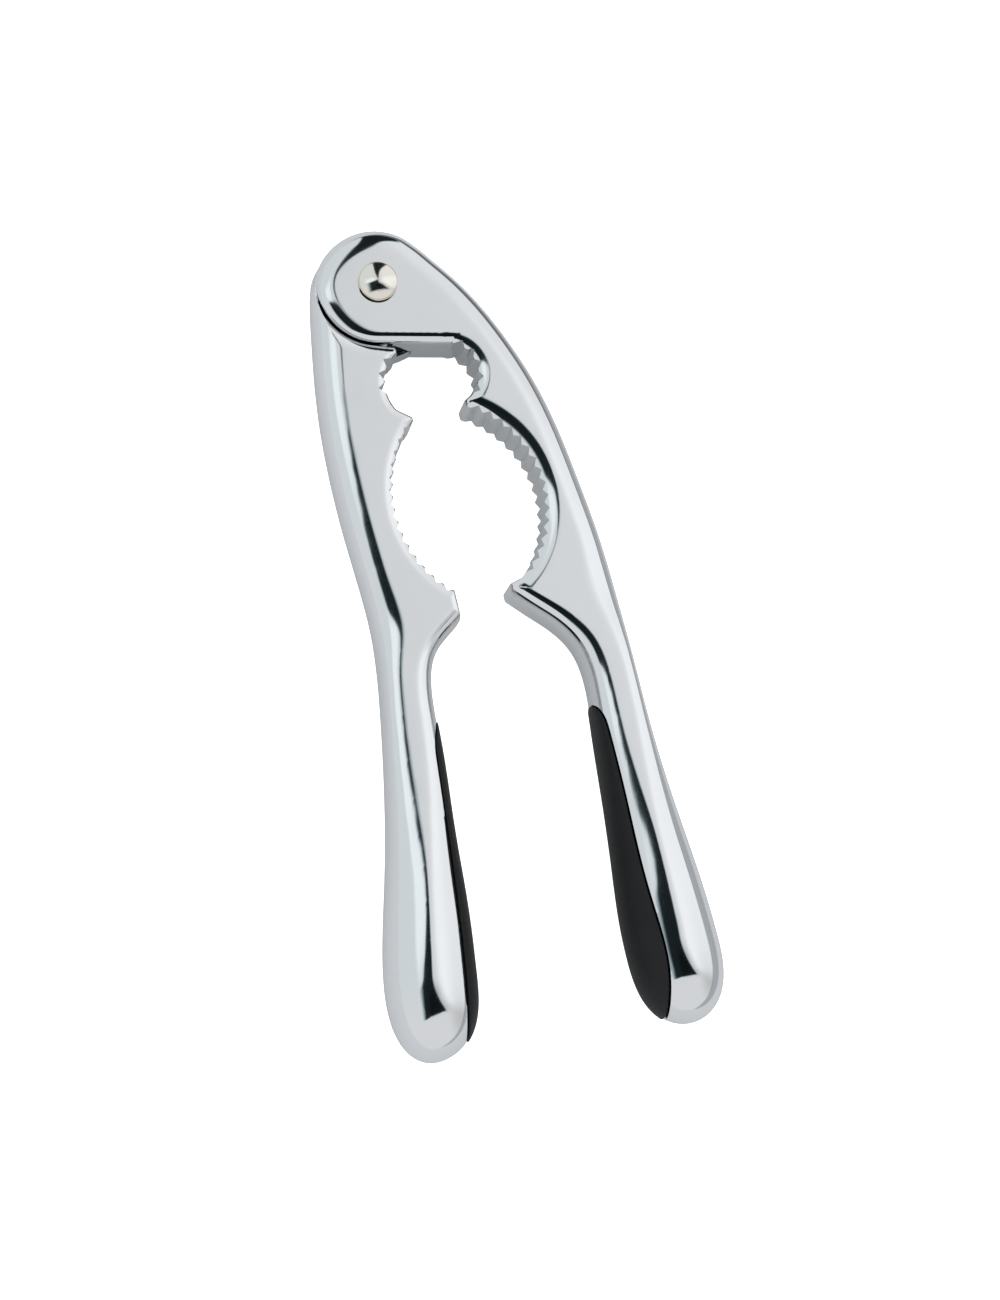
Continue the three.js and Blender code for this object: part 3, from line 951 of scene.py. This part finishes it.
def hinge_board(x, y):
    """A black board with two curved sides, beyond the hinge end."""
    beyond = y - 0.65
    near_side = (x - 0.45 * (beyond * beyond)).rise(0.035, 0.025)
    far_side = (y + 0.42 * ((0.16 - x) / 0.12).math("EXPONENT")).rise(0.8, 0.03)
    return near_side * far_side * (1 - x.rise(0.6, 0.05))


def cloth_level(x, y, above):
    """How bright the cloth is: more so to the right, and in a patch to the left of the hinge."""
    right = x.rise(0.3, 0.15) * above
    level = 0.7 + 0.1 * above + 0.27 * right * y.between(-0.3, 0.3, 0.12) + 0.1 * right * y.rise(0.3, 0.12)
    level = level + 0.25 * x.between(-0.55, -0.08, 0.08) * y.between(0.2, 0.38, 0.06) * above
    return level - 0.2 * x.rise(0.75, 0.2) * (1 - y.rise(0.0, 0.3))


def tent_material():
    """White cloth all round, with black boards over the lens and beyond the hinge end, and a painted
    shadow: a dark band low on the right.

    All of it is set out by direction: x, y and z run from -1 to 1, whatever the size of the tent.
    """
    material, graph, place = new_material("Light tent")
    x, y, z = graph.separate(graph.node("ShaderNodeVectorMath", {"operation": "NORMALIZE"}, {0: place}))
    above = z.rise(0.0, 0.05)
    board, past_side = lens_board(x, y, above)
    # painted shadow: a dark band round the right near the horizon, for the tool's shadow on the floor
    # beside it
    painted_shadow_band = z.between(-0.3, 0.04, 0.05) * x.rise(0.35, 0.2) * (0.5 + 0.38 * y.rise(0.55, 0.1))
    dark = board.math("MAXIMUM", hinge_board(x, y)).math("MAXIMUM", painted_shadow_band)
    # the lens board's side has a soft shade, and the cloth is cooler to the left
    penumbra = 0.5 * (1 - past_side.rise(0.25, 0.2)) * x.rise(-0.1, 0.1) * y.between(-0.33, 0.04, 0.08)
    level = cloth_level(x, y, above) * (1 - penumbra * above) * (1 - 0.98 * dark)
    cool = (1 - x.rise(-0.05, 0.3)) * y.rise(0.1, 0.3)
    tone = graph.mix(cool, rgba(WHITE), rgba(COOL_CLOTH))
    tone = graph.mix(dark, tone, rgba(BLACK_BOARD_AND_SHADOW))
    glow = graph.node("ShaderNodeVectorMath", {"operation": "SCALE"}, {0: tone, "Scale": level})
    shader = graph.node("ShaderNodeEmission", inputs={"Color": glow, "Strength": 1.0})
    return finished(material, graph, shader)


def hang_tent():
    """A surround that only polished pieces see, and an even white sky that lights the floor."""
    profile = arc_points((0, 0), TENT_RADIUS, -90, 90, 33)
    tent = turned("tent", profile, tent_material(), sides=64)
    tent.data.flip_normals()
    tent.visible_camera = tent.visible_diffuse = tent.visible_shadow = False
    tent.visible_transmission = tent.visible_volume_scatter = False
    scene = bpy.context.scene
    scene.world = bpy.data.worlds.new("Studio")
    scene.world.use_nodes = True
    graph = Graph(scene.world.node_tree)
    sky = graph.node("ShaderNodeBackground", inputs={"Color": rgba(WHITE), "Strength": SKY_STRENGTH})
    graph.node("ShaderNodeOutputWorld", inputs={"Surface": sky})
    scene.view_settings.view_transform = "Standard"


def place_camera(context):
    """A long lens above the tool, a little to the left of it and towards its handles."""
    data = bpy.data.cameras.new("camera")
    data.lens, data.sensor_width, data.sensor_fit = 100, 36, "AUTO"
    data.clip_start, data.clip_end = 0.01, 100
    camera = bpy.data.objects.new("camera", data)
    camera.location = CAMERA_PLACE
    camera.rotation_euler = Euler([math.radians(angle) for angle in CAMERA_TILT])
    context.scene.collection.objects.link(camera)
    context.scene.camera = camera


class NUTCRACKER_PT_panel(bpy.types.Panel):
    """Lists the pieces in the order they are built"""

    bl_idname = "NUTCRACKER_PT_panel"
    bl_label = "Nutcracker"
    bl_space_type = "VIEW_3D"
    bl_region_type = "UI"
    bl_category = "Nutcracker"

    def draw(self, context):
        for group in (context.scene.nutcracker_sizes, context.scene.nutcracker_colours):
            column = self.layout.column()
            for name in group.__annotations__:
                column.prop(group, name)
        for operator in OPERATORS:
            self.layout.operator(operator.bl_idname)


OPERATORS = (NUTCRACKER_OT_right_arm, NUTCRACKER_OT_left_arm, NUTCRACKER_OT_grips, NUTCRACKER_OT_hinge,
             NUTCRACKER_OT_stage)
CLASSES = (NutcrackerSizes, NutcrackerColours, *OPERATORS, NUTCRACKER_PT_panel)


def register():
    for cls in CLASSES:
        bpy.utils.register_class(cls)
    bpy.types.Scene.nutcracker_sizes = bpy.props.PointerProperty(type=NutcrackerSizes)
    bpy.types.Scene.nutcracker_colours = bpy.props.PointerProperty(type=NutcrackerColours)


def unregister():
    del bpy.types.Scene.nutcracker_colours
    del bpy.types.Scene.nutcracker_sizes
    for cls in reversed(CLASSES):
        bpy.utils.unregister_class(cls)


def main():
    register()
    bpy.ops.nutcracker.right_arm()
    bpy.ops.nutcracker.left_arm()
    bpy.ops.nutcracker.grips()
    bpy.ops.nutcracker.hinge()
    bpy.ops.nutcracker.stage()
    bpy.context.view_layer.update()


if __name__ == "__main__":
    main()
